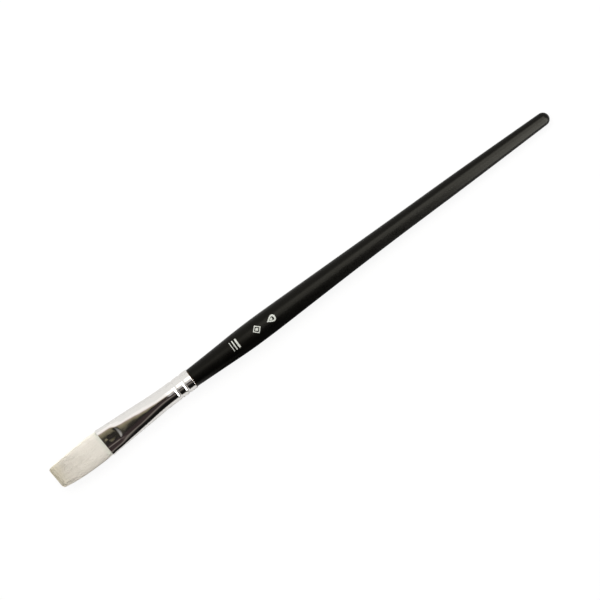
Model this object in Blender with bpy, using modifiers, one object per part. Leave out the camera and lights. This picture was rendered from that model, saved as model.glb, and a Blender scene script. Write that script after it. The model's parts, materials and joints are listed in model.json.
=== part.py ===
"""A flat artist's paint brush, lying the way it settles on a table.

The brush is built along its own axis, local +Z, from the tip of the tuft (Z = 0) to the end of the
handle. Local Y is the width of the tuft and local X is its thickness. One empty then lays the whole
brush down: tuft towards -X, flat side up, with the handle's belly and rear touching Z = 0.
"""

import itertools
import math

import bmesh
import bpy
import numpy as np

MM = 0.001

GAP = 0.3 * MM  # kept between pieces that touch on the real brush

# Overall
LENGTH = 250 * MM
MOUTH = 24.5 * MM  # the ferrule's open end, so also the free length of the filaments
BALANCE = 109 * MM  # the finished brush balances this far from the tip

# Ferrule: a tube that is round at the handle and pressed flat at the mouth
MOUTH_WIDTH = 12.5 * MM
MOUTH_THICKNESS = 4.2 * MM
TUBE_DIAMETER = 8.8 * MM
WALL = 0.35 * MM
BAND_END = 31.8 * MM  # the two faces are parallel from the mouth to here
ROUND_START = 54.6 * MM  # and the tube is round from here on
FERRULE_END = 68.9 * MM
LIP_HEIGHT = 0.1 * MM
LIP_LENGTH = 0.8 * MM
LIP_RUNOUT = 0.6 * MM
CRIMPS = (61.2 * MM, 65.0 * MM)
CRIMP_WIDTH = 1.5 * MM
CRIMP_DEPTH = 0.28 * MM

# Handle: (distance from the tip, radius). Between the two outlines lies the belly's straight stretch
SHOULDER = FERRULE_END + GAP
FRONT_OUTLINE = (
    (SHOULDER, 4.05 * MM),
    (86.5 * MM, 4.77 * MM),
    (95 * MM, 5.12 * MM),
    (104 * MM, 5.2 * MM),
)
REAR_OUTLINE = (
    (119 * MM, 4.95 * MM),
    (146 * MM, 4.37 * MM),
    (174 * MM, 3.9 * MM),
    (200 * MM, 3.66 * MM),
    (233 * MM, 3.09 * MM),
    (247.3 * MM, 2.78 * MM),
)
OUTLINE_STEPS = 3  # rings for each stretch of an outline
DOME_STEPS = 6
HANDLE_SIDES = 24

# Tenon: the handle's spigot, nosed to clear the ferrule where that starts to flatten
TENON_RADIUS = TUBE_DIAMETER / 2 - WALL - GAP
TENON_NOSE_START = 56 * MM
TENON_NOSE = 52 * MM
TENON_NOSE_RADIUS = 3.1 * MM
TENON_CHAMFER = 0.6 * MM

# Filaments, and the resin that holds their butts
BUTTS = 34.7 * MM
PLUG_END = 40 * MM
FLEX_LIMIT = math.radians(35)
TIP_WIDTH = 9.4 * MM
TIP_THICKNESS = 0.8 * MM
TIP_SLANT = math.radians(3.8)
SWELL_WIDTH = 12.35 * MM
SWELL_THICKNESS = 3.7 * MM
SIDE_POWER = 0.75  # under 1 makes the tuft's outline bulge
FACE_POWER = 0.9
BENDING_EDGE = 0.4 * MM  # the wedged root's thickness at the bending line
TUFT_STATIONS = (0.0, 0.04, 0.12, 0.25, 0.42, 0.6, 0.8, 1.0)  # shares of the way from tip to swell

ARC_STEPS = 16  # facets round each half circle of a flattened section
SHARP_ANGLE = math.radians(40)
MERGE = 0.001 * MM


def clear_scene():
    for thing in list(bpy.data.objects):
        bpy.data.objects.remove(thing, do_unlink=True)


def material(name, colour, roughness, metallic=0.0):
    made = bpy.data.materials.new(name)
    made.use_nodes = True
    shader = made.node_tree.nodes["Principled BSDF"]
    shader.inputs["Base Color"].default_value = (*colour, 1.0)
    shader.inputs["Roughness"].default_value = roughness
    shader.inputs["Metallic"].default_value = metallic
    made.diffuse_color = (*colour, 1.0)
    return made


def place(name, mesh, finish, parent, collection):
    """Makes the mesh an object on the brush's axis."""
    made = bpy.data.objects.new(name, mesh)
    mesh.materials.append(finish)
    collection.objects.link(made)
    made.parent = parent
    return made


def smooth_through(points):
    """(distance, radius) points along the smooth curve through those given, the last one included."""
    at, radius = np.array(points).T
    slope = np.gradient(radius, at)
    share = np.arange(OUTLINE_STEPS) / OUTLINE_STEPS
    curve = []
    for i, span in enumerate(np.diff(at)):
        leaving = radius[i] * (1 + 2 * share) + slope[i] * span * share
        arriving = radius[i + 1] * (3 - 2 * share) - slope[i + 1] * span * (1 - share)
        blended = leaving * (1 - share) ** 2 + arriving * share**2
        curve += zip(at[i] + share * span, blended, strict=True)
    return [(float(z), float(r)) for z, r in curve] + [points[-1]]


def handle_outline():
    """The handle's own surface, from the shoulder to the start of its rounded end."""
    return smooth_through(FRONT_OUTLINE) + smooth_through(REAR_OUTLINE)


def crimp_depth(distance):
    """How far the crimps press the tube in at this distance from the tip."""
    depth = 0.0
    for centre in CRIMPS:
        share = min(abs(distance - centre) / (CRIMP_WIDTH / 2), 1.0)
        depth += CRIMP_DEPTH * (1 + math.cos(math.pi * share)) / 2
    return depth


def crimp_stations():
    """Where an outline needs points to follow the crimps."""
    return [centre + CRIMP_WIDTH / 2 * share for centre in CRIMPS for share in (-1, -0.5, 0, 0.5, 1)]


def ferrule_size(distance):
    """Outer (width, thickness) of the ferrule, without its lip."""
    along = (distance - MOUTH) / (ROUND_START - MOUTH)
    opened = (distance - BAND_END) / (ROUND_START - BAND_END)
    width = MOUTH_WIDTH + (TUBE_DIAMETER - MOUTH_WIDTH) * min(along, 1.0)
    thickness = MOUTH_THICKNESS + (TUBE_DIAMETER - MOUTH_THICKNESS) * min(max(opened, 0.0), 1.0)
    pressed = 2 * crimp_depth(distance)
    return width - pressed, thickness - pressed


def obround(width, thickness, height, slant=0.0):
    """One flattened section: two half circles joined by straight sides, counter-clockwise from above."""
    radius = thickness / 2
    half_flat = (width - thickness) / 2
    ring = []
    for side, start in ((1, 0.0), (-1, math.pi)):
        for i in range(ARC_STEPS + 1):
            angle = start + math.pi * i / ARC_STEPS
            across = side * half_flat + radius * math.sin(angle)
            ring.append((radius * math.cos(angle), across, height - across * math.tan(slant)))
    return ring


def loft(name, rings, capped):
    """Skin over rings of equal count. Points that meet, where a flat side runs out, are merged."""
    skin = bmesh.new()
    rows = [[skin.verts.new(point) for point in ring] for ring in rings]
    for low, high in itertools.pairwise(rows):
        for i in range(len(low)):
            j = (i + 1) % len(low)
            skin.faces.new((low[i], low[j], high[j], high[i]))
    if capped:
        skin.faces.new(rows[0][::-1])
        skin.faces.new(rows[-1])
    bmesh.ops.remove_doubles(skin, verts=skin.verts, dist=MERGE)
    mesh = bpy.data.meshes.new(name)
    skin.to_mesh(mesh)
    skin.free()
    mesh.shade_smooth()
    mesh.set_sharp_from_angle(angle=SHARP_ANGLE)
    return mesh


def resting_pose():
    """(tilt, height of the axis at the tip) of the brush on the ground.

    It rests along the straight line that touches the handle both before and after the balance
    point: of all lines through two such points, the one that is furthest out at the balance point.
    """
    facet = math.cos(math.pi / HANDLE_SIDES)  # a facet faces down, and is this much nearer the axis
    outline = [(z, r * facet) for z, r in handle_outline()]
    before = [point for point in outline if point[0] < BALANCE]
    after = [point for point in outline if point[0] > BALANCE]

    def slope(pair):
        return (pair[0][1] - pair[1][1]) / (pair[1][0] - pair[0][0])

    def reach(pair):
        return pair[0][1] - slope(pair) * (BALANCE - pair[0][0])

    belly, rear = max(itertools.product(before, after), key=reach)
    tilt = math.atan(slope((belly, rear)))
    return tilt, belly[1] * math.cos(tilt) + belly[0] * math.sin(tilt)


def lay_down():
    """The empty that lays the brush down, with the middle of its length over the origin."""
    tilt, tip_height = resting_pose()
    empty = bpy.data.objects.new("brush_axis", None)
    empty.location = (-LENGTH / 2 * math.cos(tilt), 0, tip_height)
    empty.rotation_euler = (0, math.pi / 2 + tilt, 0)
    bpy.context.scene.collection.objects.link(empty)
    return empty


def turned(name, profile, finish, parent, collection):
    """A solid turned from (distance, radius) points that run down from its top to its bottom."""
    mesh = bpy.data.meshes.new(name)
    points = [(radius, 0, distance) for distance, radius in profile]
    mesh.from_pydata(points, list(itertools.pairwise(range(len(points)))), [])
    made = place(name, mesh, finish, parent, collection)
    screw = made.modifiers.new("turn", "SCREW")
    screw.axis = "Z"
    screw.steps = HANDLE_SIDES
    screw.render_steps = HANDLE_SIDES
    screw.use_merge_vertices = True
    screw.merge_threshold = MERGE
    screw.use_smooth_shade = True
    return made


def rounded_end():
    """The handle's dome, from its crown to where it meets the outline."""
    start, radius = REAR_OUTLINE[-1]
    angles = [math.pi / 2 * i / DOME_STEPS for i in range(DOME_STEPS)]
    return [(start + (LENGTH - start) * math.cos(a), radius * math.sin(a)) for a in angles]


def tenon():
    """The spigot inside the ferrule, from the shoulder to its nose, waisted where the crimps bite."""
    gripped = [(z, TENON_RADIUS - crimp_depth(z)) for z in reversed(crimp_stations())]
    nose = [
        (TENON_NOSE_START, TENON_RADIUS),
        (TENON_NOSE + TENON_CHAMFER, TENON_NOSE_RADIUS),
        (TENON_NOSE, TENON_NOSE_RADIUS - TENON_CHAMFER),
        (TENON_NOSE, 0.0),
    ]
    return [(SHOULDER, TENON_RADIUS), *gripped, *nose]


def handle(parent, collection):
    lacquer = material("black_lacquer", (0.012, 0.011, 0.010), 0.32)
    profile = rounded_end() + handle_outline()[::-1] + tenon()
    made = turned("handle", profile, lacquer, parent, collection)
    made.rotation_euler.z = math.pi / HANDLE_SIDES  # turns a facet, not an edge, to the ground


def ferrule(parent, collection):
    metal = material("polished_metal", (0.83, 0.83, 0.84), 0.12, metallic=1.0)
    lip_end = MOUTH + LIP_LENGTH
    rings = []
    for z in (MOUTH, lip_end):
        width, thickness = ferrule_size(z)
        rings.append(obround(width + 2 * LIP_HEIGHT, thickness + 2 * LIP_HEIGHT, z))
    for z in (lip_end + LIP_RUNOUT, BAND_END, ROUND_START, *crimp_stations(), FERRULE_END):
        rings.append(obround(*ferrule_size(z), z))
    made = place("ferrule", loft("ferrule", rings, capped=False), metal, parent, collection)
    shell = made.modifiers.new("wall", "SOLIDIFY")
    shell.thickness = WALL
    shell.offset = -1
    shell.use_even_offset = True


def packing(name, stations, finish, parent, collection):
    """A solid that fills the ferrule between the first and last station, short of its wall by the gap."""
    inset = 2 * (WALL + GAP)
    rings = []
    for z in stations:
        width, thickness = ferrule_size(z)
        rings.append(obround(width - inset, thickness - inset, z))
    place(name, loft(name, rings, capped=True), finish, parent, collection)


def tuft(finish, parent, collection):
    """The free filaments, with their origin on the bending line across the mouth.

    The root is a wedge, so that the tuft bends to its limit either way and stays clear of the mouth.
    """
    root = -(BENDING_EDGE / 2 * math.tan(FLEX_LIMIT) + GAP)
    swell = -(SWELL_THICKNESS / 2 * math.tan(FLEX_LIMIT) + GAP)
    tip = TIP_WIDTH / 2 * math.tan(TIP_SLANT) - MOUTH
    rings = []
    for share in TUFT_STATIONS:
        rise = math.sin(math.pi / 2 * share)
        width = TIP_WIDTH + (SWELL_WIDTH - TIP_WIDTH) * rise**SIDE_POWER
        thickness = TIP_THICKNESS + (SWELL_THICKNESS - TIP_THICKNESS) * rise**FACE_POWER
        rings.append(obround(width, thickness, tip + (swell - tip) * share, TIP_SLANT * (1 - share)))
    rings.append(obround(MOUTH_WIDTH - 2 * WALL, BENDING_EDGE, root))
    made = place("tuft", loft("tuft", rings, capped=True), finish, parent, collection)
    made.location.z = MOUTH


def main():
    clear_scene()
    collection = bpy.data.collections.new("paint_brush")
    bpy.context.scene.collection.children.link(collection)
    axis = lay_down()
    filament = material("filament", (0.80, 0.80, 0.72), 0.45)
    resin = material("resin", (0.50, 0.36, 0.14), 0.25)
    handle(axis, collection)
    ferrule(axis, collection)
    packing("tuft_root", (MOUTH, BAND_END, BUTTS), filament, axis, collection)
    packing("epoxy_plug", (BUTTS + GAP, PLUG_END), resin, axis, collection)
    tuft(filament, axis, collection)


main()
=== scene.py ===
"""The looks of a flat artist's paint brush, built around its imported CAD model.

Every piece is laid out in the brush's own coordinates, in metres: s runs along the axis from the tip of
the tuft, y across its width, and u from the axis towards the upper face. to_world() places them. The same
coordinates, in millimetres, stay on each mesh as the attribute "brush", which the materials read.
"""

import json
import math

import bpy
import numpy as np
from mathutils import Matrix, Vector


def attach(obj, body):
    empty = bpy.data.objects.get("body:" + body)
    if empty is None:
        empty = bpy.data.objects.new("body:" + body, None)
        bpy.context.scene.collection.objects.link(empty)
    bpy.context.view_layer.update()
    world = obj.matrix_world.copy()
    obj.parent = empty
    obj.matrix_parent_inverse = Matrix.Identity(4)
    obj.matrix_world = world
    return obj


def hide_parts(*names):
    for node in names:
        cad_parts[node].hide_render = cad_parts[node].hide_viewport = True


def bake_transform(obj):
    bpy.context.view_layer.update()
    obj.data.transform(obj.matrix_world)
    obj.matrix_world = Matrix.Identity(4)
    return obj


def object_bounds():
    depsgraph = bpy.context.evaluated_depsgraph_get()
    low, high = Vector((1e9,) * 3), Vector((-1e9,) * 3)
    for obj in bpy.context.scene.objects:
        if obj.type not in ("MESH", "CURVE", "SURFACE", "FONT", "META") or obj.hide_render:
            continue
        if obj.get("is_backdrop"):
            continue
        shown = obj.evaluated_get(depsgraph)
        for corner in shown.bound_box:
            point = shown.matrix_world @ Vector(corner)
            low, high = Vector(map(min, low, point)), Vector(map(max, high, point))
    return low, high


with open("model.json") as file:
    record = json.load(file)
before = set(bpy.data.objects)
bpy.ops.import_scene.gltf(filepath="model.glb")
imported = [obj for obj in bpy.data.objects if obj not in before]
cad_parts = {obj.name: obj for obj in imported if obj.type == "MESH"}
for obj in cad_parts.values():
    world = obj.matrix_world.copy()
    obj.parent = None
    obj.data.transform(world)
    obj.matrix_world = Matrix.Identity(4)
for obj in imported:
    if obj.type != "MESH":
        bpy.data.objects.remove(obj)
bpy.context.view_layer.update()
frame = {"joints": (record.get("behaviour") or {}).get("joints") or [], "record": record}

MM = 0.001
rng = np.random.default_rng(12)

# Overall, as in the CAD model
LENGTH = 250 * MM
MOUTH = 24.5 * MM  # where the ferrule starts, at its +Y edge
GAP = 0.3 * MM

# The ferrule's tube
MOUTH_WIDTH = 12.5 * MM
MOUTH_THICKNESS = 4.2 * MM
TUBE_DIAMETER = 8.8 * MM
WALL = 0.35 * MM
BAND_END = 31.8 * MM  # its faces are parallel up to here
ROUND_START = 54.6 * MM  # and it is round from here on
FERRULE_END = 68.9 * MM
END_REACH = 0.18 * MM  # the tube runs on to the handle's shoulder by this much
LEVEL_OFF = 0.12  # the tapers level off softly over this share of their length
MOUTH_SLANT = math.tan(math.radians(2.9))  # the mouth is cut back a little towards -Y
CRIMPS = (61.3 * MM, 65.3 * MM)
CRIMP_WIDTH = 1.6 * MM
CRIMP_DEPTH = 0.25 * MM
LIP_HEIGHT = 0.1 * MM
LIP_FACE_SHARE = 0.15  # of the lip's height, left on the pressed faces
LIP_LENGTH = 0.8 * MM
LIP_RUNOUT = 0.9 * MM
RIM_ROUND = 0.06 * MM
RIM_STEP = (0.3, 0.7)  # of the rim's rounding: how far in and how far out its middle rows lie

# The ferrule's pressed faces
FLAT_START = BAND_END - 2 * MM  # from here on the section turns from flat to round
FLAT_POWER = 4.0  # of the section's outline where the flat part ends: 2 is an ellipse, more is flatter
BAND_POWER = 6.0  # the same in the band that the jaws pressed
BAND_FADE = (BAND_END - 1.5 * MM, BAND_END + 3.5 * MM)  # the band's own shape ends between these
CROWN = 0.07 * MM  # the pressed faces are this much higher in the middle
SKEW = 0.9 * MM  # the jaws met this far towards +Y of the middle
SHELF = (2.1 * MM, 3.1 * MM)  # towards -Y the pressed face steps down between these distances
SHELF_DEPTH = 0.2 * MM
PRESS_DEPTH = 0.085 * MM  # the jaws leave a faint step at their edge
PRESS_EDGE = BAND_END - 0.2 * MM
PRESS_RUN = 2.3 * MM
PRESS_HALF_WIDTH = 2.8 * MM
PRESS_SIDES = (PRESS_HALF_WIDTH - 0.4 * MM, PRESS_HALF_WIDTH + 1.2 * MM)  # the step fades out sideways
PRESS_BULGE = 1.2 * MM
PRESS_FADE = BAND_END + 3 * MM  # and it fades out from here towards the round part
DIMPLES = (  # (distance from the tip, place across, radius, depth) of small dents in the upper face
    (28.0 * MM, -0.4 * MM, 2.2 * MM, 0.04 * MM),
    (26.2 * MM, 0.1 * MM, 1.0 * MM, -0.02 * MM),
)
WAVES = 14
WAVE_HEIGHT = 0.0016 * MM
WAVE_LENGTHS = (1.8 * MM, 6 * MM)

# The ferrule's mesh: (where a span of rows ends, steps in it), counted from the mouth's rim
QUARTER_POINTS = 26
FERRULE_SPANS = (
    (MOUTH + LIP_LENGTH + LIP_RUNOUT, 13),
    (BAND_FADE[0], 19),
    (BAND_END + 2 * MM, 31),
    (CRIMPS[0] - CRIMP_WIDTH, 59),
    (CRIMPS[1] + CRIMP_WIDTH, 63),
    (FERRULE_END + END_REACH - RIM_ROUND, 11),
)

# Handle
SHOULDER = FERRULE_END + GAP
OUTLINE = (  # (distance from the tip, radius)
    (SHOULDER, 4.05 * MM),
    (86.5 * MM, 4.77 * MM),
    (95 * MM, 5.12 * MM),
    (104 * MM, 5.2 * MM),
    (119 * MM, 4.95 * MM),
    (146 * MM, 4.37 * MM),
    (174 * MM, 3.9 * MM),
    (200 * MM, 3.66 * MM),
    (233 * MM, 3.09 * MM),
    (LENGTH, 2.74 * MM),
)
BOW = (  # (distance from the tip, shift towards +Y): the wood has warped by a hair
    (SHOULDER, 0.0),
    (90 * MM, -0.05 * MM),
    (145 * MM, 0.09 * MM),
    (200 * MM, -0.04 * MM),
    (LENGTH, -0.28 * MM),
)
DOME_START = 247.2 * MM
HANDLE_SIDES = 96
HANDLE_RINGS = 150
DOME_RINGS = 16
SHOULDER_ROUND = 0.14 * MM
SHOULDER_RINGS = 5
TENON_RADIUS = TUBE_DIAMETER / 2 - WALL - GAP
TENON_NOSE_START = 56 * MM
TENON_NOSE = 52 * MM
TENON_NOSE_RADIUS = 3.1 * MM
TENON_CHAMFER = 0.6 * MM
TENON_RINGS = 70
SHARP_ANGLE = math.radians(50)

# The tuft as a whole
BUTTS = 34.7 * MM
TIP_WIDTH = 9.35 * MM
TIP_THICKNESS = 0.8 * MM
TIP_SLANT = math.radians(3.8)
TIP_CORNER = 1.0 * MM
TIP_BEVEL = 0.3 * MM  # the faces' strands end this much short of the middle ones
SWELL_WIDTH = 12.45 * MM
SWELL_THICKNESS = 3.7 * MM
SWELL = 22.6 * MM  # where it is widest
SIDE_POWER = 0.70  # under 1 makes the outline bulge
FACE_POWER = 0.9
GRIP = (SWELL - 2 * MM, MOUTH + 0.5 * MM)  # the ferrule takes over its shape between these
SIDE_SHIFT = 0.22 * MM  # the -Y side bulges a little more than the other
SIDE_SHIFT_END = 0.75 * MOUTH

# Its strands
FILAMENT_RADIUS = 0.075 * MM
FILAMENT_TIP_RADIUS = 0.03 * MM
FILAMENT_TAPER = 0.8 * MOUTH
FILAMENT_CUT = 0.35  # of the tip's radius, left at the very end
FILAMENT_SPACING = 0.145 * MM
FILAMENT_JITTER = 0.12  # of the spacing
LAYER_STEP = 0.92 * FILAMENT_SPACING
LAYER_POWER = FLAT_POWER - 0.6
FILAMENT_LEAN = 0.048 * MM
LEAN_OUT = 0.35  # of the sideways lean, towards and away from the faces
LEAN_POWER = 1.4
SWAY = 0.4  # of the lean
SWAY_PACE = (0.4, 1.3)  # half waves
RADIUS_SPREAD = 0.06
LENGTH_SPREAD = 0.1 * MM
FILAMENT_SIDES = 5
FILAMENT_STATIONS = 13
STATION_POWER = 0.9  # under 1 sets the stations closer together towards the tip

# The resin behind them
PLUG_END = 40 * MM
PLUG_RINGS = 12
PLUG_CLEARANCE = 0.02 * MM
PLUG_SAG = 0.7 * MM
PLUG_RIPPLE = 0.06 * MM
PLUG_LOBES = 3
PLUG_TWIST = 9
PLUG_SHARES = (0.94, 0.8, 0.6, 0.4, 0.2)

# Marks printed on the handle: three bars, a lozenge and a paint drop
INK_HEIGHT = 0.03 * MM
BARS_WIDTH = 1.22  # of the mark's height, as are the sizes below
BARS = ((0.0, 0.22), (0.46, 0.6), (0.86, 0.94))  # each bar's two edges
BAR_STEPS = 12
LOZENGES = ((0.5, 0.1), (0.2, 0.14))  # (size, width of the line)
LOZENGE_STEPS = 6
DROPS = ((0.5, 0.55), (0.16, 0.02))  # (size, share of it left open inside)
DROP_STEPS = 40
DROP_POWER = 1.6
DROP_WIDTH = 1.05
DROP_MIDDLE = (0, -0.22)
BARS_PLACE = (93.0 * MM, -1.6 * MM, 3.5 * MM)  # (distance from the tip, place across, height)
LOZENGE_PLACE = (102.25 * MM, 0.3 * MM, 3.9 * MM)
DROP_PLACE = (109.3 * MM, 0.2 * MM, 4.2 * MM)

# Picture
VIEW_TURN = math.radians(-36.5)
VIEW_WIDTH = 244.7 * MM  # what the picture spans at the height of the brush's axis
VIEW_RIGHT = 0.84 * MM  # the brush's middle lies this far right of the picture's, and this far above it
VIEW_ABOVE = 1.37 * MM
LENS = 135
SENSOR = 36

mounts = {mount["name"]: mount for mount in frame["record"]["mounts"]}
UP = Vector(mounts["ferrule_flat_top"]["axis"]).normalized()
ACROSS = Vector((0, 1, 0))
ALONG = ACROSS.cross(UP)  # from the tip towards the handle's end
MOUTH_CENTRE = Vector(frame["joints"][0]["pos_m"])
TIP = MOUTH_CENTRE - ALONG * MOUTH


def to_world(points):
    return np.array(TIP) + points @ np.array((ALONG, ACROSS, UP))


def smoothstep(value, start, end):
    share = np.clip((value - start) / (end - start), 0, 1)
    return share * share * (3 - 2 * share)


def smooth_curve(points):
    """A function along the natural cubic spline through (place, value) points."""
    place, value = np.array(points).T
    step = np.diff(place)
    slope = np.diff(value) / step
    system = np.eye(len(place))
    target = np.zeros(len(place))
    for i in range(1, len(place) - 1):
        system[i, i - 1 : i + 2] = step[i - 1], 2 * (step[i - 1] + step[i]), step[i]
        target[i] = 6 * (slope[i] - slope[i - 1])
    bend = np.linalg.solve(system, target)

    def at(where):
        i = np.clip(np.searchsorted(place, where) - 1, 0, len(step) - 1)
        near = (place[i + 1] - where) / step[i]
        far = (where - place[i]) / step[i]
        curved = ((near**3 - near) * bend[i] + (far**3 - far) * bend[i + 1]) * step[i] ** 2 / 6
        return near * value[i] + far * value[i + 1] + curved

    return at


# ---------------------------------------------------------------------------------------------- meshes


def piece(name, points, faces, materials, slots=None, extra=None):
    """A smooth-shaded mesh object from points in brush coordinates."""
    mesh = bpy.data.meshes.new(name)
    mesh.from_pydata(to_world(points).tolist(), [], faces)
    mesh.shade_smooth()
    for made in materials:
        mesh.materials.append(made)
    if slots is not None:
        mesh.polygons.foreach_set("material_index", slots)
    place = mesh.attributes.new("brush", "FLOAT_VECTOR", "POINT")
    place.data.foreach_set("vector", (points / MM).astype(np.float32).ravel())
    for title, values in (extra or {}).items():
        mesh.attributes.new(title, "FLOAT", "POINT").data.foreach_set("value", values.astype(np.float32))
    mesh.update()
    made = bpy.data.objects.new(name, mesh)
    bpy.context.scene.collection.objects.link(made)
    return made


def row_faces(rows, around, looped=False):
    """Quads between rows of points, each a ring. A looped skin also joins its last row to its first."""
    faces = []
    for row in range(rows if looped else rows - 1):
        low, high = row * around, (row + 1) % rows * around
        for i in range(around):
            j = (i + 1) % around
            faces.append((low + i, low + j, high + j, high + i))
    return faces


def fan(centre, ring):
    """Triangles from a centre point to a ring of points."""
    return [(centre, ring[i], ring[(i + 1) % len(ring)]) for i in range(len(ring))]


def capped(rows):
    """(points, faces) of a solid skinned over rows, with a point at the middle of each end."""
    count, around = rows.shape[:2]
    points = np.concatenate([rows.reshape(-1, 3), rows[[0, -1]].mean(axis=1)])
    first = list(range(around))
    last = [(count - 1) * around + i for i in first]
    ends = fan(count * around, first[::-1]) + fan(count * around + 1, last)
    return points, row_faces(count, around) + ends


def superellipse(half_width, half_thickness, power):
    """(y, u) points round |y/a|^power + (u/b)^2 = 1, evenly spread along its flat sides too."""
    share = np.arange(QUARTER_POINTS) / QUARTER_POINTS
    angle = math.pi / 2 * share ** (power / 2)
    across = half_width * np.sin(angle) ** (2 / power)
    height = half_thickness * np.cos(angle)
    edge = np.array([[half_width, 0.0]])
    quarter = np.stack([across, height], axis=1)
    right = np.concatenate([quarter, edge, (quarter * (1, -1))[:0:-1]])
    return np.concatenate([right, -right])[::-1]


def inset(ring, distance):
    """A ring moved inwards, square to its own line. Rings run counter-clockwise about +s."""
    run = np.roll(ring, -1, axis=0) - np.roll(ring, 1, axis=0)
    run /= np.linalg.norm(run, axis=1, keepdims=True)
    return ring + distance * np.stack([-run[:, 1], run[:, 0]], axis=1)


def at_distance(ring, distance):
    return np.concatenate([np.full((len(ring), 1), distance), ring], axis=1)


# ----------------------------------------------------------------------------------------- ferrule form


def crimp_depth(distance):
    depth = 0.0
    for centre in CRIMPS:
        share = min(abs(distance - centre) / (CRIMP_WIDTH / 2), 1.0)
        depth += CRIMP_DEPTH * (1 + math.cos(math.pi * share)) / 2
    return depth


def flatness(distance):
    """1 where the tube is pressed flat and 0 where it is round."""
    return 1 - float(smoothstep(distance, FLAT_START, ROUND_START))


def levelled(share):
    """A share that climbs evenly and then levels off softly at 1."""
    if share < 1 - LEVEL_OFF:
        return max(share, 0.0)
    return 1 - max(1 + LEVEL_OFF - share, 0.0) ** 2 / (4 * LEVEL_OFF)


def tube_sizes(distance):
    """The tube's width and thickness, before its lip and crimps."""
    along = levelled((distance - MOUTH) / (ROUND_START - MOUTH))
    opened = levelled((distance - BAND_END) / (ROUND_START - BAND_END))
    width = MOUTH_WIDTH + (TUBE_DIAMETER - MOUTH_WIDTH) * along
    thickness = MOUTH_THICKNESS + (TUBE_DIAMETER - MOUTH_THICKNESS) * opened
    return width, thickness


def ferrule_section(distance):
    """The tube's outer outline at this distance, before its small dents."""
    width, thickness = tube_sizes(distance)
    lip_end = MOUTH + LIP_LENGTH
    lip = LIP_HEIGHT * (1 - float(smoothstep(distance, lip_end, lip_end + LIP_RUNOUT)))
    crimp = crimp_depth(distance)
    pressed = 1 - float(smoothstep(distance, *BAND_FADE))
    power = 2 + (FLAT_POWER - 2) * flatness(distance) + (BAND_POWER - FLAT_POWER) * pressed
    ring = superellipse(width / 2 + lip - crimp, thickness / 2 + lip * LIP_FACE_SHARE - crimp, power)
    edgeward = (ring[:, 0] / ring[:, 0].max()) ** 2
    ring[:, 1] -= CROWN * pressed * edgeward * np.sign(ring[:, 1])
    height = ring[:, 1] / ring[:, 1].max()
    ring[:, 0] += SKEW * pressed * (1 - edgeward) * height
    ring[:, 1] -= SHELF_DEPTH * pressed * height * smoothstep(-ring[:, 0] * np.sign(height), *SHELF)
    return ring


def press_step(distance, across):
    """How far the jaws' edge stands above the flat band: it bows towards the mouth at its sides."""
    edge = PRESS_EDGE - PRESS_BULGE * (across / PRESS_HALF_WIDTH) ** 2
    within = 1 - smoothstep(np.abs(across), *PRESS_SIDES)
    fading = 1 - smoothstep(distance, PRESS_FADE, ROUND_START)
    return PRESS_DEPTH * smoothstep(distance, edge, edge + PRESS_RUN) * within * fading


def dimple(points):
    """How far the small dents lift the pressed face, in metres, at each place."""
    total = np.zeros(len(points))
    for s, y, radius, depth in DIMPLES:
        away = np.hypot(points[:, 0] - s, points[:, 1] - y) / radius
        total -= depth * (1 - smoothstep(away, 0, 1))
    return total * (points[:, 2] > 0)


def dents():
    """A function giving the tube's small unevenness, the same each time."""
    turn = rng.uniform(0, 2 * math.pi, WAVES)
    length = rng.uniform(*WAVE_LENGTHS, WAVES)
    start = rng.uniform(0, 2 * math.pi, WAVES)
    side = rng.choice((-1, 1), WAVES)

    def height(points):
        total = np.zeros(len(points))
        for way, wave, phase, face in zip(turn, length, start, side, strict=True):
            run = points[:, 0] * math.cos(way) + points[:, 1] * math.sin(way)
            total += WAVE_HEIGHT * np.sin(2 * math.pi * run / wave + phase + face * (points[:, 2] > 0))
        return total

    return height


def outer_row(distance, uneven):
    """The tube's outer outline with all its marks of handling."""
    ring = ferrule_section(distance)
    facing = np.sign(ring[:, 1]) * smoothstep(np.abs(ring[:, 1]), 0, MOUTH_THICKNESS / 4)
    step = facing * press_step(distance, ring[:, 0])
    ring[:, 1] += step + dimple(at_distance(ring, distance))
    lift = uneven(at_distance(ring, distance))
    return at_distance(ring * (1 + lift / np.linalg.norm(ring, axis=1))[:, None], distance)


def rim(outer, inner, way):
    """Three rows round the tube's open end, from its outer row to its inner one."""
    near, far = RIM_STEP
    s = outer[0, 0]
    return [
        at_distance(inset(outer[:, 1:], RIM_ROUND * near), s + way * RIM_ROUND * far),
        at_distance(inset(outer[:, 1:], WALL / 2), s + way * RIM_ROUND),
        at_distance(inset(inner[:, 1:], -RIM_ROUND * near), s + way * RIM_ROUND * far),
    ]


def slanted(rows):
    """Rows of the tube with its mouth cut back towards -Y."""
    cut_back = MOUTH_SLANT * np.clip(MOUTH_WIDTH / 2 - rows[..., 1], 0, None)
    near_mouth = 1 - smoothstep(rows[..., 0], MOUTH, BAND_END)
    moved = rows.copy()
    moved[..., 0] += cut_back * near_mouth
    return moved


def ferrule_stations():
    """Distances of the tube's rows."""
    stations = [MOUTH + RIM_ROUND]
    for end, steps in FERRULE_SPANS:
        stations.extend(np.linspace(stations[-1], end, steps + 1)[1:])
    return stations


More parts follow.
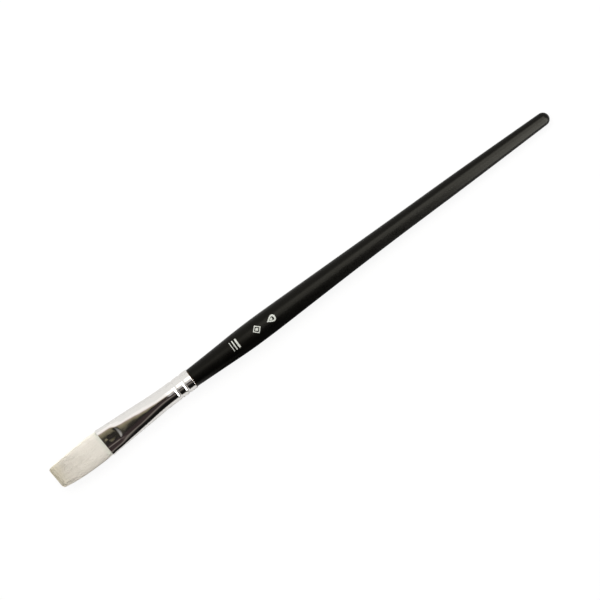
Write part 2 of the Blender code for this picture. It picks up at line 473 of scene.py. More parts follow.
def build_ferrule(metal, bore):
    uneven = dents()
    outer, inner = [], []
    for s in ferrule_stations():
        inner.append(at_distance(inset(ferrule_section(s), WALL), s))
        outer.append(outer_row(s, uneven))
    far_rim = rim(outer[-1], inner[-1], 1)
    near_rim = rim(outer[0], inner[0], -1)
    rows = slanted(np.array([*outer, *far_rim, *inner[::-1], *near_rim[::-1]]))
    around = rows.shape[1]
    faces = row_faces(len(rows), around, looped=True)
    bore_start = len(outer) + len(far_rim)
    bore_rows = range(bore_start, bore_start + len(inner) - 1)
    slots = [1 if i // around in bore_rows else 0 for i in range(len(faces))]
    made = piece("ferrule_shell", rows.reshape(-1, 3), faces, [metal, bore], slots)
    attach(made, "brush")
    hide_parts("ferrule")


# ------------------------------------------------------------------------------------------ handle form

handle_radius = smooth_curve(OUTLINE)
handle_bow = smooth_curve(BOW)


def handle_profile():
    """(distance, radius) rows of the handle from its rounded end, and how many of them are lacquered."""
    turn = np.linspace(0, math.pi / 2, DOME_RINGS + 1)[1:]
    dome = DOME_START + (LENGTH - DOME_START) * np.cos(turn)
    share = (dome - DOME_START) / (LENGTH - DOME_START)
    body = np.linspace(DOME_START, SHOULDER + SHOULDER_ROUND, HANDLE_RINGS)[1:]
    rows = list(zip(dome, handle_radius(dome) * np.sqrt(1 - share**2), strict=True))
    rows += zip(body, handle_radius(body), strict=True)
    corner = handle_radius(SHOULDER) - SHOULDER_ROUND
    for angle in np.linspace(0, math.pi / 2, SHOULDER_RINGS + 1)[1:]:
        s = SHOULDER + SHOULDER_ROUND * (1 - math.sin(angle))
        rows.append((s, corner + SHOULDER_ROUND * math.cos(angle)))
    lacquered = len(rows)
    gripped = np.linspace(SHOULDER, TENON_NOSE_START, TENON_RINGS)
    rows += [(s, TENON_RADIUS - crimp_depth(s)) for s in gripped]
    rows.append((TENON_NOSE + TENON_CHAMFER, TENON_NOSE_RADIUS))
    rows.append((TENON_NOSE, TENON_NOSE_RADIUS - TENON_CHAMFER))
    return rows, lacquered


def build_handle(lacquer, wood):
    profile, lacquered = handle_profile()
    angle = 2 * math.pi * np.arange(HANDLE_SIDES) / HANDLE_SIDES
    circle = np.stack([np.cos(angle), np.sin(angle)], axis=1)
    rows = np.array([at_distance(circle * radius, s) for s, radius in profile])[:, ::-1]
    rows[..., 1] += np.where(rows[..., 0] > SHOULDER, handle_bow(rows[..., 0]), 0)
    points, faces = capped(rows)
    body_faces = (lacquered - 1) * HANDLE_SIDES
    end_point = len(points) - 2
    slots = [0 if i < body_faces or face[0] == end_point else 1 for i, face in enumerate(faces)]
    made = piece("handle_body", points, faces, [lacquer, wood], slots)
    made.data.set_sharp_from_angle(angle=SHARP_ANGLE)
    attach(made, "brush")
    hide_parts("handle")


# ------------------------------------------------------------------------------------- filaments, resin


def tuft_half_sizes(s):
    """Half the width and half the thickness of the bundle at each distance from the tip."""
    rise = np.sin(math.pi / 2 * np.clip(s / SWELL, 0, 1))
    width = TIP_WIDTH + (SWELL_WIDTH - TIP_WIDTH) * rise**SIDE_POWER
    thickness = TIP_THICKNESS + (SWELL_THICKNESS - TIP_THICKNESS) * rise**FACE_POWER
    gripped = smoothstep(s, *GRIP)
    along = np.clip((s - MOUTH) / (ROUND_START - MOUTH), 0, 1)
    held_width = MOUTH_WIDTH + (TUBE_DIAMETER - MOUTH_WIDTH) * along - 2 * (WALL + FILAMENT_RADIUS)
    held_thickness = MOUTH_THICKNESS - 2 * (WALL + FILAMENT_RADIUS)
    width += (held_width - width) * gripped
    thickness += (held_thickness - thickness) * gripped
    edge = FILAMENT_RADIUS * (1 - gripped)
    return width / 2 - edge, thickness / 2 - edge


def filament_layout():
    """(y, u) of each filament as a share of the bundle's half sizes, in rings from the outside in."""
    half_width, half_thickness = SWELL_WIDTH / 2, SWELL_THICKNESS / 2
    shares = []
    for depth in np.arange(0, half_thickness - FILAMENT_SPACING / 2, LAYER_STEP):
        ring = superellipse(half_width - depth, half_thickness - depth, LAYER_POWER)
        ring = np.concatenate([ring, ring[:1]])
        run = np.concatenate([[0], np.cumsum(np.linalg.norm(np.diff(ring, axis=0), axis=1))])
        count = max(int(run[-1] / FILAMENT_SPACING), 3)
        at = np.arange(count) + rng.uniform(0, 1) + rng.normal(0, FILAMENT_JITTER, count)
        at = at % count * run[-1] / count
        place = np.stack([np.interp(at, run, ring[:, i]) for i in (0, 1)], axis=1)
        shares.append(place / (half_width, half_thickness))
    return np.concatenate(shares)


def tip_distance(y):
    """Where the cut tuft ends, at each place across its width: square to the axis but for a small slant."""
    over = np.clip(np.abs(y) - (TIP_WIDTH / 2 - TIP_CORNER), 0, TIP_CORNER)
    corner = TIP_CORNER - np.sqrt(TIP_CORNER**2 - over**2)
    return (TIP_WIDTH / 2 - y) * math.tan(TIP_SLANT) + corner


def filament_lines(shares):
    """(s, y, u) of points down the middle of each filament, from the butt to the tip."""
    count = len(shares)
    tip_y = shares[:, 0] * TIP_WIDTH / 2
    short = TIP_BEVEL * shares[:, 1] ** 2
    end = tip_distance(tip_y) + short + np.abs(rng.normal(0, LENGTH_SPREAD, count))
    share = np.linspace(0, 1, FILAMENT_STATIONS) ** STATION_POWER
    s = BUTTS + (end[:, None] - BUTTS) * share
    s[:, -1] += FILAMENT_TIP_RADIUS
    half_width, half_thickness = tuft_half_sizes(s)
    free = np.clip(1 - s / MOUTH, 0, 1)
    phase = rng.uniform(0, 2 * math.pi, (count, 2, 1))
    pace = rng.uniform(*SWAY_PACE, (count, 2, 1)) * math.pi
    lean = rng.normal(0, FILAMENT_LEAN, (count, 2, 1))
    sway = np.sin(pace * free[:, None] * 2 + phase) - np.sin(phase)
    drift = lean * (free[:, None] ** LEAN_POWER) * (1 - SWAY + SWAY * sway)
    bulge = SIDE_SHIFT * np.sin(math.pi * np.clip(s / SIDE_SHIFT_END, 0, 1))
    y = shares[:, :1] * half_width - bulge + drift[:, 0]
    u = shares[:, 1:] * half_thickness + drift[:, 1] * LEAN_OUT
    return s, y, u


def filament_points(shares):
    """Points of all filaments, (filament, station, side, 3), from the butt to the tip."""
    count = len(shares)
    s, y, u = filament_lines(shares)
    widening = smoothstep(s, 0, FILAMENT_TAPER)
    radius = FILAMENT_TIP_RADIUS + (FILAMENT_RADIUS - FILAMENT_TIP_RADIUS) * widening
    radius *= rng.normal(1, RADIUS_SPREAD, count)[:, None]
    radius[:, -1] *= FILAMENT_CUT
    angle = 2 * math.pi * np.arange(FILAMENT_SIDES) / FILAMENT_SIDES
    turn = angle + rng.uniform(0, 2 * math.pi, (count, 1, 1))
    points = np.empty((count, FILAMENT_STATIONS, FILAMENT_SIDES, 3))
    points[..., 0] = s[..., None]
    points[..., 1] = y[..., None] + radius[..., None] * np.cos(turn)
    points[..., 2] = u[..., None] + radius[..., None] * np.sin(turn)
    return points


def filament_faces(count):
    """Faces of so many filaments, each a tube closed at both ends."""
    per = FILAMENT_STATIONS * FILAMENT_SIDES
    starts = np.arange(count) * per
    pattern = np.array(row_faces(FILAMENT_STATIONS, FILAMENT_SIDES))[:, ::-1]
    butt = np.arange(FILAMENT_SIDES)
    tip = butt[::-1] + per - FILAMENT_SIDES
    faces = (starts[:, None, None] + pattern).reshape(-1, 4).tolist()
    faces += (starts[:, None] + butt).tolist()
    faces += (starts[:, None] + tip).tolist()
    return faces


def build_filaments(plastic):
    shares = filament_layout()
    points = filament_points(shares)
    tone = rng.uniform(0, 1, len(shares))
    upper = shares[:, 1] >= 0
    for name, chosen in (("filaments_upper", upper), ("filaments_lower", ~upper)):
        mine = points[chosen]
        tones = np.repeat(tone[chosen], FILAMENT_STATIONS * FILAMENT_SIDES)
        faces = filament_faces(len(mine))
        made = piece(name, mine.reshape(-1, 3), faces, [plastic], extra={"tone": tones})
        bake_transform(made)
        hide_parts("tuft", "tuft_root")


def build_resin(resin):
    """The cured plug: it wets the filaments' butts in front and has a sagging free surface behind."""
    rows = []
    for s in np.linspace(BUTTS - GAP, PLUG_END, PLUG_RINGS):
        rows.append(at_distance(inset(ferrule_section(s), WALL + PLUG_CLEARANCE), s))
    full = rows[-1][:, 1:]
    middle = full.mean(axis=0)
    for share in PLUG_SHARES:
        ring = middle + (full - middle) * share
        ripple = np.sin(PLUG_TWIST * share + PLUG_LOBES * np.arctan2(ring[:, 1], ring[:, 0]))
        row = at_distance(ring, PLUG_END)
        row[:, 0] -= PLUG_SAG * (1 - share**2) + PLUG_RIPPLE * ripple
        rows.append(row)
    points, faces = capped(np.array(rows))
    made = piece("resin_plug", points, faces, [resin])
    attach(made, "brush")
    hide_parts("epoxy_plug")


# ------------------------------------------------------------------------------------------------ marks
# A mark is a list of ribbons in its own plane, in shares of its height: x reads across the brush and y
# points to the tip. A ribbon is an array of (left edge, right edge) pairs.


def wrapped(flat, lift, baseline, start):
    """Points of a mark's plane laid on the handle, this far above its surface."""
    s = baseline - flat[..., 1]
    radius = handle_radius(s)
    angle = (start + flat[..., 0]) / radius
    reach = radius + lift
    return np.stack([s, reach * np.sin(angle) + handle_bow(s), reach * np.cos(angle)], axis=-1)


def printed(ribbons, baseline, start, height):
    """(points, faces) of a raised print on the handle."""
    points, faces = [], []
    offset = 0
    for ribbon in ribbons:
        top = wrapped(ribbon * height, INK_HEIGHT, baseline, start)
        under = wrapped(ribbon * height, -INK_HEIGHT, baseline, start)
        rows = np.stack([top[:, 0], top[:, 1], under[:, 1], under[:, 0]], axis=1)
        around = rows.shape[1]
        skin = row_faces(len(rows), around)
        skin.append(tuple(range(around))[::-1])
        skin.append(tuple((len(rows) - 1) * around + i for i in range(around)))
        points.append(rows.reshape(-1, 3))
        faces += [tuple(offset + i for i in face) for face in skin]
        offset += len(points[-1])
    return np.concatenate(points), faces


def bars():
    """Three bars across the brush, each thicker than the one before."""
    across = np.linspace(0, BARS_WIDTH, BAR_STEPS + 1)
    ribbons = []
    for low, high in BARS:
        edges = [np.stack([across, np.full(len(across), edge)], axis=1) for edge in (high, low)]
        ribbons.append(np.stack(edges, axis=1))
    return ribbons


def lozenge(size, width):
    """Four mitred sides of a diamond. A wide enough side leaves no hole in the middle."""
    corners = np.array([(0, -size), (size, 0), (0, size), (-size, 0)], dtype=float)
    open_share = (size - width * math.sqrt(2)) / size
    share = np.linspace(0, 1, LOZENGE_STEPS + 1)[:, None]
    ribbons = []
    for here, there in zip(corners, np.roll(corners, -1, axis=0), strict=True):
        outer = here + (there - here) * share
        ribbons.append(np.stack([outer * open_share, outer], axis=1))
    return ribbons


def droplet(size, open_share):
    """A paint drop, its point towards the handle's end: a ribbon between an outer and an inner outline."""
    angle = np.linspace(0, 2 * math.pi, DROP_STEPS + 1)
    across = np.sin(angle) * np.sin(angle / 2) ** DROP_POWER * DROP_WIDTH
    shape = np.stack([across, np.cos(angle)], axis=1)
    middle = np.array(DROP_MIDDLE)
    inside = middle * size + (shape - middle) * size * open_share
    return [np.stack([shape * size, inside], axis=1)]


def build_marks(ink):
    lozenges = [ribbon for mark in LOZENGES for ribbon in lozenge(*mark)]
    drops = [ribbon for mark in DROPS for ribbon in droplet(*mark)]
    for name, ribbons, place in (
        ("print_bars", bars(), BARS_PLACE),
        ("print_lozenge", lozenges, LOZENGE_PLACE),
        ("print_drop", drops, DROP_PLACE),
    ):
        points, faces = printed(ribbons, *place)
        made = piece(name, points, faces, [ink])
        made.data.shade_flat()
        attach(made, "brush")


# -------------------------------------------------------------------------------------------- materials


def socket(sockets, name):
    """A node's socket by its name or, where several share one, by its identifier."""
    return next(s for s in sockets if name in (s.identifier, s.name))


def put(tree, target, value):
    if isinstance(value, bpy.types.NodeSocket):
        tree.links.new(value, target)
    else:
        target.default_value = value


def node(tree, kind, inputs=None, **settings):
    """Adds a shader node and returns its first visible output."""
    made = tree.nodes.new("ShaderNode" + kind)
    for name, value in settings.items():
        setattr(made, name, value)
    for name, value in (inputs or {}).items():
        put(tree, socket(made.inputs, name), value)
    return next((s for s in made.outputs if s.enabled), None)


def noise(tree, place, scale, detail, stretch=None):
    """Noise from 0 to 1 at features of about 1/scale millimetres, or drawn out by a stretch vector."""
    if stretch:
        place = node(tree, "Mapping", {"Vector": place, "Scale": stretch})
    return node(tree, "TexNoise", {"Vector": place, "Scale": scale, "Detail": detail}, normalize=True)


def ranged(tree, value, span, onto=(0.0, 1.0)):
    """A value clamped to a span and moved onto another one."""
    inputs = {"Value": value, "From Min": span[0], "From Max": span[1], "To Min": onto[0], "To Max": onto[1]}
    return node(tree, "MapRange", inputs, clamp=True)


def mix(tree, factor, a, b):
    """A colour between a and b."""
    a, b = (value if isinstance(value, bpy.types.NodeSocket) else (*value, 1.0) for value in (a, b))
    inputs = {"Factor_Float": factor, "A_Color": a, "B_Color": b}
    return node(tree, "Mix", inputs, data_type="RGBA")


def calc(tree, operation, a, b=0.0):
    made = tree.nodes.new("ShaderNodeMath")
    made.operation = operation
    put(tree, made.inputs[0], a)
    put(tree, made.inputs[1], b)
    return made.outputs[0]


def times(tree, a, b):
    return calc(tree, "MULTIPLY", a, b)


def plus(tree, a, b):
    return calc(tree, "ADD", a, b)


def split(tree, vector):
    """The x, y and z of a vector."""
    made = tree.nodes.new("ShaderNodeSeparateXYZ")
    tree.links.new(vector, made.inputs[0])
    return made.outputs


def bump(tree, height, depth, under=None):
    """A normal from a height of 0 to 1 that stands for a depth in millimetres."""
    inputs = {"Height": height, "Distance": depth * MM, "Strength": 1.0}
    if under is not None:
        inputs["Normal"] = under
    return node(tree, "Bump", inputs)


def attribute(tree, name, output):
    made = tree.nodes.new("ShaderNodeAttribute")
    made.attribute_name = name
    return made.outputs[output]


def material(name):
    """(material, tree, shader, brush coordinates)."""
    made = bpy.data.materials.new(name)
    made.use_nodes = True
    tree = made.node_tree
    return made, tree, tree.nodes["Principled BSDF"], attribute(tree, "brush", "Vector")


def finish(tree, shader, **values):
    for name, value in values.items():
        put(tree, shader.inputs[name.replace("_", " ")], value)


LACQUER_BLACK = (0.0004, 0.0003, 0.0003)
LACQUER_GRAIN = (0.0009, 0.0008, 0.0007)
LACQUER_WORN = (0.030, 0.016, 0.009)
LACQUER_SCRATCHED = (0.02, 0.02, 0.02)
LACQUER_SPECULAR = 0.15
LACQUER_TINT = (1.0, 0.97, 0.83, 1.0)
WORN_EDGE = (69.5, 70.1)  # millimetres from the tip
WORN_SHARE = 0.3
SCRATCH_SHARE = 0.25


def lacquer_material():
    made, tree, shader, place = material("black_lacquer")
    grain = noise(tree, place, scale=1.0, detail=4.0, stretch=(0.05, 1.6, 1.6))
    peel = noise(tree, place, scale=0.9, detail=1.0)
    fine = noise(tree, place, scale=6.0, detail=2.0)
    smudge = noise(tree, place, scale=0.16, detail=3.0)
    scratch = noise(tree, place, scale=1.0, detail=1.0, stretch=(0.35, 14.0, 14.0))
    scratch = ranged(tree, scratch, (0.68, 0.74))
    ragged = plus(tree, split(tree, place)["X"], times(tree, fine, 0.5))
    worn = ranged(tree, ragged, WORN_EDGE, onto=(1.0, 0.0))
    colour = mix(tree, grain, LACQUER_BLACK, LACQUER_GRAIN)
    colour = mix(tree, times(tree, worn, WORN_SHARE), colour, LACQUER_WORN)
    colour = mix(tree, times(tree, scratch, SCRATCH_SHARE), colour, LACQUER_SCRATCHED)
    rough = ranged(tree, smudge, (0.3, 0.7), onto=(0.24, 0.30))
    rough = plus(tree, rough, times(tree, scratch, 0.12))
    rough = plus(tree, rough, times(tree, fine, 0.04))
    normal = bump(tree, grain, depth=0.006)
    normal = bump(tree, peel, depth=0.008, under=normal)
    normal = bump(tree, scratch, depth=-0.0008, under=normal)
    finish(tree, shader, Base_Color=colour, Roughness=rough, Normal=normal)
    finish(tree, shader, Specular_IOR_Level=LACQUER_SPECULAR, Specular_Tint=LACQUER_TINT)
    return made


WOOD_EARLY = (0.62, 0.43, 0.25)
WOOD_LATE = (0.46, 0.29, 0.15)
WOOD_FIBRE = (0.34, 0.20, 0.10)


def wood_material():
    made, tree, shader, place = material("bare_wood")
    drawn_out = node(tree, "Mapping", {"Vector": place, "Scale": (0.02, 0.5, 0.5)})
    rings = node(
        tree, "TexWave", {"Vector": drawn_out, "Scale": 1.0, "Distortion": 2.5, "Detail": 3.0},
        wave_type="RINGS", rings_direction="X",
    )
    fibre = noise(tree, place, scale=1.0, detail=4.0, stretch=(0.25, 7.0, 7.0))
    colour = mix(tree, rings, WOOD_EARLY, WOOD_LATE)
    colour = mix(tree, times(tree, fibre, 0.5), colour, WOOD_FIBRE)
    rough = ranged(tree, fibre, (0.2, 0.8), onto=(0.55, 0.8))
    finish(tree, shader, Base_Color=colour, Roughness=rough, Normal=bump(tree, fibre, depth=0.02))
    return made


METAL_BRIGHT = (0.93, 0.915, 0.895)
METAL_HAZY = (0.87, 0.86, 0.84)
METAL_SPECK = (0.60, 0.58, 0.54)


def metal_material():
    made, tree, shader, place = material("polished_metal")
    draw = noise(tree, place, scale=1.0, detail=3.0, stretch=(0.12, 9.0, 9.0))
    haze = noise(tree, place, scale=0.35, detail=4.0)
    specks = ranged(tree, noise(tree, place, scale=2.2, detail=2.0), (0.70, 0.76))
    colour = mix(tree, haze, METAL_BRIGHT, METAL_HAZY)
    colour = mix(tree, times(tree, specks, 0.35), colour, METAL_SPECK)
    rough = ranged(tree, haze, (0.3, 0.7), onto=(0.04, 0.08))
    rough = plus(tree, rough, times(tree, specks, 0.1))
    rough = plus(tree, rough, times(tree, draw, 0.03))
    normal = bump(tree, draw, depth=0.0006)
    finish(tree, shader, Base_Color=colour, Roughness=rough, Normal=normal, Metallic=1.0)
    return made


BORE_BRIGHT = (0.55, 0.54, 0.52)
BORE_DULL = (0.40, 0.38, 0.34)


def bore_material():
    made, tree, shader, place = material("ferrule_bore")
    draw = noise(tree, place, scale=1.0, detail=3.0, stretch=(0.1, 5.0, 5.0))
    colour = mix(tree, draw, BORE_BRIGHT, BORE_DULL)
    rough = ranged(tree, draw, (0.2, 0.8), onto=(0.3, 0.5))
    normal = bump(tree, draw, depth=0.004)
    finish(tree, shader, Base_Color=colour, Roughness=rough, Normal=normal, Metallic=1.0)
    return made


STRAND_PALE = (0.97, 0.925, 0.84)
STRAND_DARK = (0.90, 0.85, 0.76)
STRAND_STREAK = (0.84, 0.82, 0.75)
# A yellower tint of the tip, darker too as painted shade
STRAND_TIP_TINT_AND_SHADE = (0.84, 0.78, 0.58)
STRAND_BASE = (0.82, 0.79, 0.73)
# Painted shade of the -Y side
STRAND_SIDE_SHADE = (0.76, 0.72, 0.64)
# Painted shade with a greenish tint, right at the mouth
STRAND_MOUTH_SHADE = (0.72, 0.76, 0.66)


def filament_material():
    """Pale strands: yellower and darker at the tip, the darkening being painted shade; darker at the base;
    painted shade towards -Y and, with a greenish tint, right at the mouth.
    """
    made, tree, shader, place = material("filament")
    tone = attribute(tree, "tone", "Fac")
    s, y, _ = split(tree, place)
    cloud = noise(tree, place, scale=0.35, detail=2.0)
    streak = noise(tree, place, scale=1.0, detail=2.0, stretch=(0.12, 1.6, 1.6))
    colour = mix(tree, tone, STRAND_PALE, STRAND_DARK)
    colour = mix(tree, times(tree, streak, 0.35), colour, STRAND_STREAK)
    # Towards the tip: a yellower tint with painted shade
    tip = ranged(tree, plus(tree, s, times(tree, cloud, 3.0)), (0.5, 8.0), onto=(0.75, 0.0))
    colour = mix(tree, tip, colour, STRAND_TIP_TINT_AND_SHADE)
    colour = mix(tree, ranged(tree, s, (9.0, 21.0), onto=(0.0, 0.45)), colour, STRAND_BASE)
    # Painted shade towards -Y
    colour = mix(tree, ranged(tree, y, (-0.5, -5.5), onto=(0.0, 0.4)), colour, STRAND_SIDE_SHADE)
    # Painted shade with a greenish tint right at the mouth
    colour = mix(tree, ranged(tree, s, (22.5, 24.3), onto=(0.0, 0.5)), colour, STRAND_MOUTH_SHADE)
    rough = ranged(tree, tone, (0.0, 1.0), onto=(0.38, 0.52))
    finish(tree, shader, Base_Color=colour, Roughness=rough)
    return made


RESIN_CLEAR = (0.55, 0.33, 0.10)
RESIN_DARK = (0.36, 0.19, 0.05)
RESIN_BUBBLE = (0.75, 0.60, 0.35)


def resin_material():
    made, tree, shader, place = material("resin")
    cloud = noise(tree, place, scale=0.7, detail=3.0)
    bubbles = ranged(tree, noise(tree, place, scale=2.4, detail=1.0), (0.66, 0.74))
    colour = mix(tree, cloud, RESIN_CLEAR, RESIN_DARK)
    colour = mix(tree, bubbles, colour, RESIN_BUBBLE)
    rough = ranged(tree, cloud, (0.2, 0.8), onto=(0.12, 0.28))
    finish(tree, shader, Base_Color=colour, Roughness=rough, Normal=bump(tree, bubbles, depth=0.05))
    return made


INK_PALE = (0.66, 0.68, 0.62)
INK_THIN = (0.52, 0.54, 0.49)
INK_PINHOLE = (0.10, 0.10, 0.09)


def ink_material():
    made, tree, shader, place = material("print_ink")
    patch = noise(tree, place, scale=3.0, detail=3.0)
    pinholes = ranged(tree, noise(tree, place, scale=9.0, detail=1.0), (0.70, 0.76))
    colour = mix(tree, patch, INK_PALE, INK_THIN)
    colour = mix(tree, times(tree, pinholes, 0.7), colour, INK_PINHOLE)
    rough = ranged(tree, patch, (0.2, 0.8), onto=(0.45, 0.62))
    finish(tree, shader, Base_Color=colour, Roughness=rough, Normal=bump(tree, patch, depth=0.01))
    return made


# --------------------------------------------------------------------------------- floor, light, camera

FLOOR_REACH = 3.0
FLOOR_PALE = (0.80, 0.80, 0.80)
FLOOR_FIBRE = (0.78, 0.78, 0.775)
FLOOR_SEEN = (0.12, 0.12, 0.12)  # the camera sees this colour instead
FLOOR_GLOW = 0.90  # and this much light of the floor's own
# Painted shade: only glossy rays see the floor this dark, beside the handle's -Y side
FLOOR_SHADED = (0.05, 0.05, 0.05)  # the handle's -Y side mirrors this colour
SHADE_START = (-0.058, -0.045)  # along X, from none to full
SHADE_END = (0.12, 0.0)
SHADE_SIDE = (0.0, -0.004)  # along Y


def floor_material():
    """Pale paper. The camera sees it mostly by its own light, which keeps only a faint shadow. Glossy rays
    see a patch of painted shade beside the handle's -Y side.
    """
    made = bpy.data.materials.new("floor_paper")
    made.use_nodes = True
    tree = made.node_tree
    place = node(tree, "NewGeometry")
    path = tree.nodes.new("ShaderNodeLightPath").outputs
    fibre = node(tree, "TexNoise", {"Vector": place, "Scale": 900.0, "Detail": 3.0})
    colour = mix(tree, fibre, FLOOR_PALE, FLOOR_FIBRE)
    x, y, _ = split(tree, place)
    shaded = path["Is Glossy Ray"]
    for value, span in ((x, SHADE_START), (x, SHADE_END), (y, SHADE_SIDE)):
        shaded = times(tree, shaded, ranged(tree, value, span))
    # Painted shade for glossy rays, within the spans SHADE_START, SHADE_END and SHADE_SIDE
    colour = mix(tree, shaded, colour, FLOOR_SHADED)
    seen = path["Is Camera Ray"]
    colour = mix(tree, seen, colour, FLOOR_SEEN)
    shader = tree.nodes["Principled BSDF"]
    finish(tree, shader, Base_Color=colour, Roughness=0.9, Specular_IOR_Level=0.1)
    finish(tree, shader, Emission_Color=(1, 1, 1, 1), Emission_Strength=times(tree, seen, FLOOR_GLOW))
    return made


def build_floor(height):
    reach = FLOOR_REACH
    corners = [(-reach, -reach), (reach, -reach), (reach, reach), (-reach, reach)]
    mesh = bpy.data.meshes.new("floor")
    mesh.from_pydata([(*corner, height) for corner in corners], [], [(0, 1, 2, 3)])
    mesh.materials.append(floor_material())
    floor = bpy.data.objects.new("floor", mesh)
    bpy.context.scene.collection.objects.link(floor)
    floor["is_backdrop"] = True


# The studio as the polished metal sees it: (degrees from overhead, towards +Y if positive; colour)
STUDIO = (
    (-180, (0.60, 0.60, 0.60)),
    (-97, (0.55, 0.55, 0.53)),
    (-90, (0.14, 0.13, 0.11)),
    (-84, (0.035, 0.033, 0.028)),
    (-76, (0.005, 0.005, 0.005)),
    (-52, (0.006, 0.006, 0.006)),
    (-44, (0.030, 0.026, 0.024)),
    (-38, (0.10, 0.09, 0.08)),
    (-32, (0.21, 0.19, 0.17)),
    (-26, (0.07, 0.055, 0.052)),
    (-20, (0.040, 0.028, 0.028)),
    (-8, (0.036, 0.026, 0.026)),
    (-3, (0.026, 0.022, 0.020)),
    (-1.2, (0.013, 0.012, 0.011)),
    (0.6, (0.014, 0.013, 0.012)),
    (1.6, (0.22, 0.195, 0.13)),
    (4.5, (0.28, 0.25, 0.165)),
    (7, (0.42, 0.33, 0.30)),
    (10, (0.90, 0.85, 0.81)),
    (18, (1.02, 0.99, 0.97)),
    (34, (1.00, 0.98, 0.96)),
    (48, (0.90, 0.87, 0.84)),
    (68, (0.84, 0.81, 0.78)),
    (90, (0.75, 0.72, 0.70)),
    (180, (0.73, 0.71, 0.69)),
)

# The dark part of the studio is an oval about this angle, with pale walls to the left and right of it
DARK_MIDDLE = math.radians(-42)
DARK_HALF = math.radians(52)
DARK_ROUNDING = 0.17
SIDE_START = 0.42
SIDE_FULL = 0.60
WALL_COLOUR = (0.86, 0.85, 0.83)
LOW_WALL_COLOUR = (0.36, 0.34, 0.32)  # of the walls low towards -Y
LOW_WALL_TURN = (math.radians(12), math.radians(-14))
LOW_WALL_REACH = (0.45, 0.60)


def studio_ramp(tree, turn):
    """The colours of STUDIO over the turn from overhead, which is in radians."""
    ramp = tree.nodes.new("ShaderNodeValToRGB")
    put(tree, ramp.inputs[0], ranged(tree, turn, (-math.pi, math.pi)))
    stops = ramp.color_ramp.elements
    for degrees, colour in STUDIO[1:-1]:
        stops.new((degrees + 180) / 360).color = (*colour, 1.0)
    stops[0].color = (*STUDIO[0][1], 1.0)
    stops[-1].color = (*STUDIO[-1][1], 1.0)
    return ramp.outputs[0]


def studio_walls(tree, turn, aside):
    """(how much of a wall is seen, its colour) in a direction this far to the left or right."""
    off_middle = calc(tree, "DIVIDE", calc(tree, "SUBTRACT", turn, DARK_MIDDLE), DARK_HALF)
    oval = calc(tree, "POWER", calc(tree, "ABSOLUTE", off_middle), 2.0)
    lean = plus(tree, aside, times(tree, oval, DARK_ROUNDING))
    side = node(
        tree, "MapRange", {"Value": lean, "From Min": SIDE_START, "From Max": SIDE_FULL},
        interpolation_type="SMOOTHSTEP",
    )
    low = ranged(tree, turn, LOW_WALL_TURN)
    far = ranged(tree, aside, LOW_WALL_REACH)
    return side, mix(tree, times(tree, low, far), WALL_COLOUR, LOW_WALL_COLOUR)


def build_world():
    """The studio, behind which the camera sees plain white."""
    world = bpy.data.worlds.new("studio")
    bpy.context.scene.world = world
    world.use_nodes = True
    tree = world.node_tree
    tree.nodes.clear()
    x, y, z = split(tree, node(tree, "TexCoord"))
    turn = calc(tree, "ARCTAN2", y, z)
    side, wall = studio_walls(tree, turn, calc(tree, "ABSOLUTE", x))
    seen = mix(tree, side, studio_ramp(tree, turn), wall)
    backdrop = node(tree, "Background", {"Color": (1, 1, 1, 1), "Strength": 1.0})
    studio = node(tree, "Background", {"Color": seen, "Strength": 1.0})
    both = tree.nodes.new("ShaderNodeMixShader")
    put(tree, both.inputs[0], node(tree, "LightPath"))
    put(tree, both.inputs[1], studio)
    put(tree, both.inputs[2], backdrop)
    out = tree.nodes.new("ShaderNodeOutputWorld")
    tree.links.new(both.outputs[0], out.inputs["Surface"])


KEY_PLACE = (-0.1, 0.38, 0.74)
KEY_SIZE = (0.9, 0.5)
KEY_RADIANCE = 3.1

# A row of panels over the handle, each brighter than the one before
REAR_PANELS = 7
REAR_START = -0.08
REAR_SIZE = (0.06, 0.28)
REAR_REACH = 0.3
REAR_LEAN = math.radians(11)
REAR_RADIANCE = 1.0

# And one low at its side
SIDE_MIDDLE = 0.355
SIDE_SIZE = (0.46, 0.477)
SIDE_LEAN = math.radians(-50.5)
SIDE_RADIANCE = 7.0


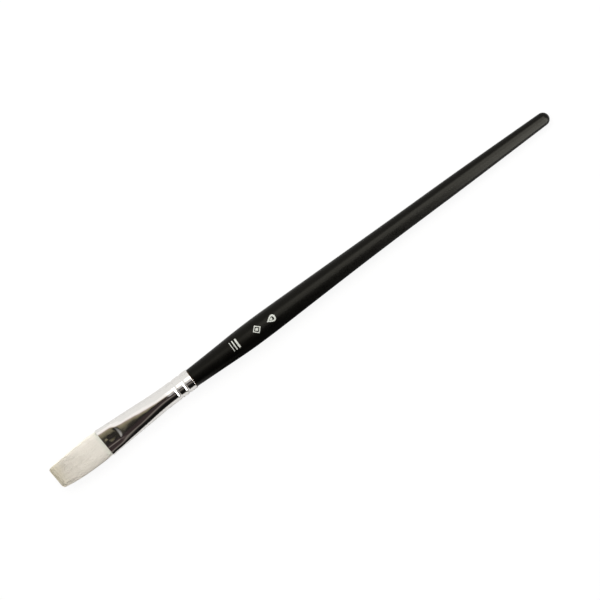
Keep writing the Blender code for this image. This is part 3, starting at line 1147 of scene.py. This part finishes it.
def softbox(name, place, target, size, radiance, diffuse=True, glossy=True):
    """A rectangular light that shows as an even panel of the given brightness."""
    lamp = bpy.data.lights.new(name, "AREA")
    lamp.shape = "RECTANGLE"
    lamp.size, lamp.size_y = size
    lamp.energy = radiance * math.pi * size[0] * size[1]
    made = bpy.data.objects.new(name, lamp)
    made.location = place
    made.rotation_euler = (Vector(place) - Vector(target)).to_track_quat("Z", "Y").to_euler()
    made.visible_camera = False
    made.visible_diffuse = diffuse
    made.visible_glossy = glossy
    bpy.context.scene.collection.objects.link(made)


def leaning(angle):
    """From a spot on the axis to a panel that leans this far from overhead."""
    return Vector((0, math.sin(angle), math.cos(angle))) * REAR_REACH


def build_lights():
    softbox("key", KEY_PLACE, (0, 0, 0), KEY_SIZE, KEY_RADIANCE, glossy=False)
    for step in range(REAR_PANELS):
        below = Vector((REAR_START + (step + 0.5) * REAR_SIZE[0], 0, 0))
        radiance = REAR_RADIANCE * (step + 0.5)
        softbox(f"rear_top_{step}", below + leaning(REAR_LEAN), below, REAR_SIZE, radiance, diffuse=False)
    below = Vector((SIDE_MIDDLE, 0, 0))
    softbox("rear_side", below + leaning(SIDE_LEAN), below, SIDE_SIZE, SIDE_RADIANCE, diffuse=False)


def build_camera():
    lens = bpy.data.cameras.new("camera")
    lens.lens = LENS
    lens.sensor_width = SENSOR
    made = bpy.data.objects.new("camera", lens)
    middle = TIP + ALONG * LENGTH / 2
    right = Vector((math.cos(VIEW_TURN), math.sin(VIEW_TURN), 0))
    above = Vector((-math.sin(VIEW_TURN), math.cos(VIEW_TURN), 0))
    distance = VIEW_WIDTH * LENS / SENSOR
    made.location = middle - right * VIEW_RIGHT - above * VIEW_ABOVE + Vector((0, 0, distance))
    made.rotation_euler = (0, 0, VIEW_TURN)
    bpy.context.scene.collection.objects.link(made)
    bpy.context.scene.camera = made


def main():
    build_handle(lacquer_material(), wood_material())
    build_ferrule(metal_material(), bore_material())
    build_filaments(filament_material())
    build_resin(resin_material())
    build_marks(ink_material())
    build_floor(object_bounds()[0].z)
    build_world()
    build_lights()
    build_camera()
    bpy.context.scene.view_settings.view_transform = "Standard"


main()
